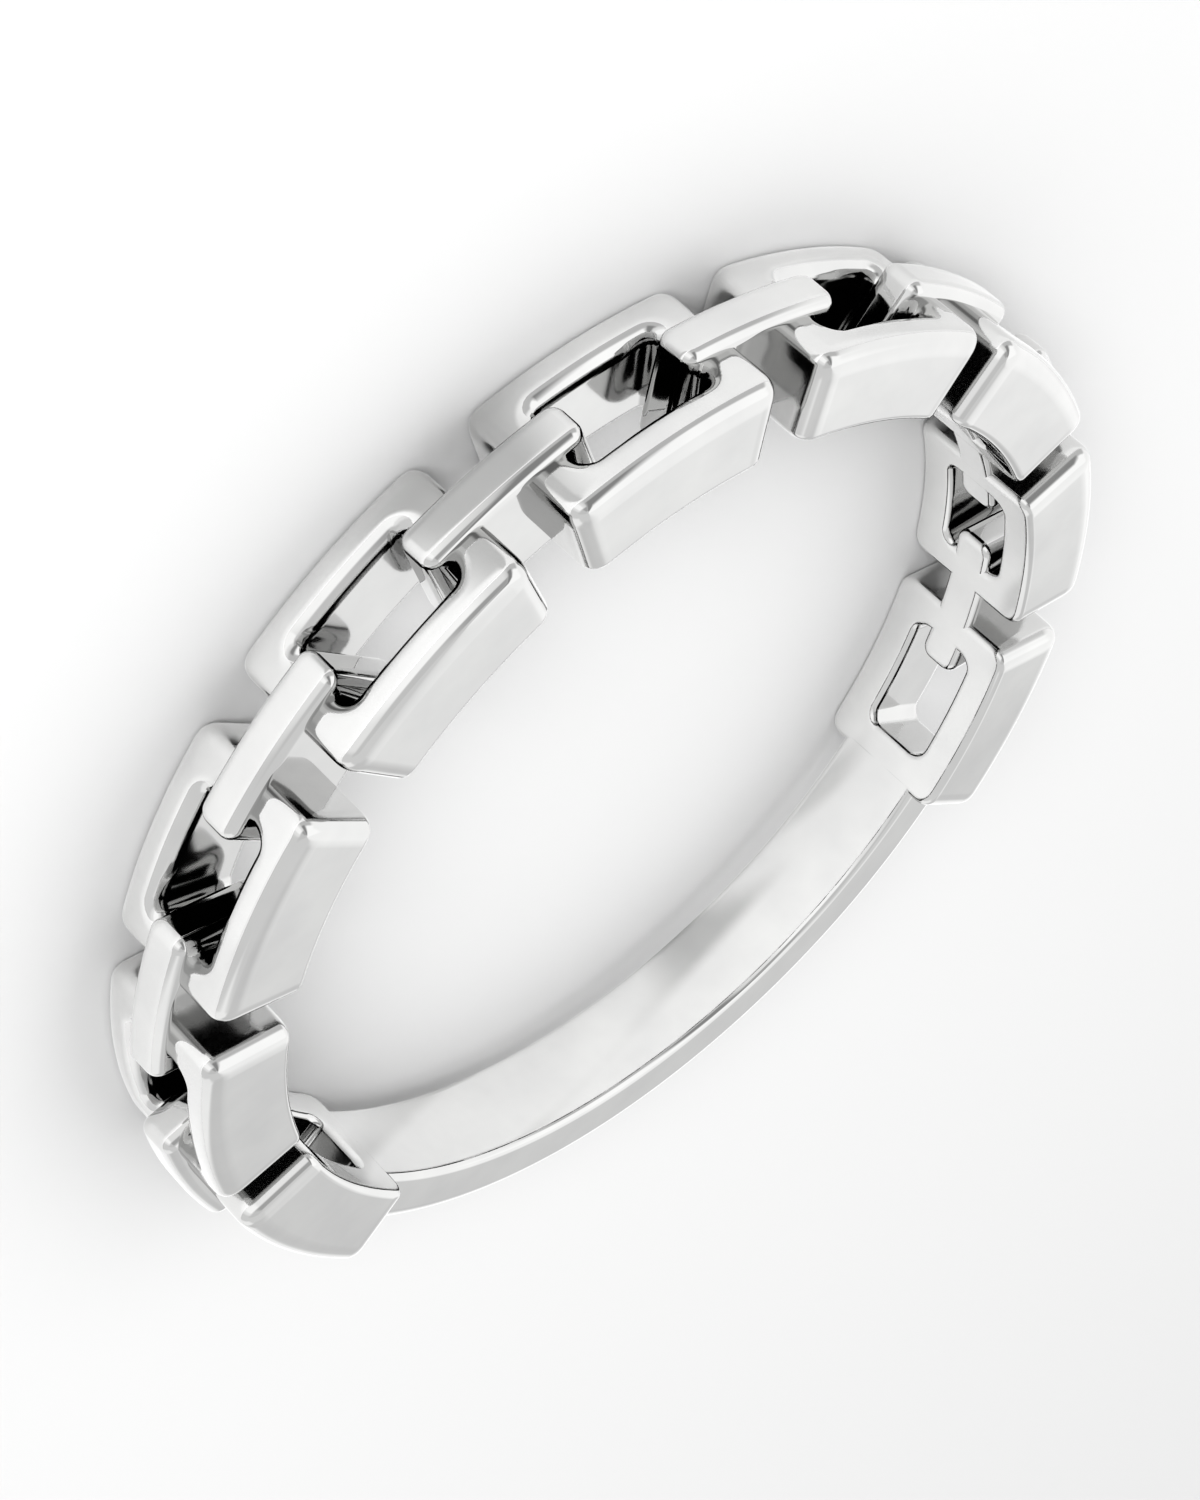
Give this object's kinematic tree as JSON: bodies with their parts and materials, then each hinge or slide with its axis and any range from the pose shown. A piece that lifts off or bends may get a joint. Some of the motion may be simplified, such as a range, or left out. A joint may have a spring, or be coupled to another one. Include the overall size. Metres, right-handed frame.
{
  "type": "chain link ring",
  "caption": "Finger ring in polished white metal: a chain of upright rectangular links joined by slim raised connectors, closed by a plain flat shank.",
  "frame": {"origin": "centre of the finger hole, half way across the band", "axes": "+Z along the finger hole, the ring lying on its side; +Y through the middle of the chain; the shank lies towards -Y"},
  "size_m": [0.0212, 0.0205, 0.0028],
  "materials": {
    "metal": "polished white metal, taken as sterling silver"
  },
  "bodies": {
    "root": {"ring": "metal"}
  },
  "joints": []
}
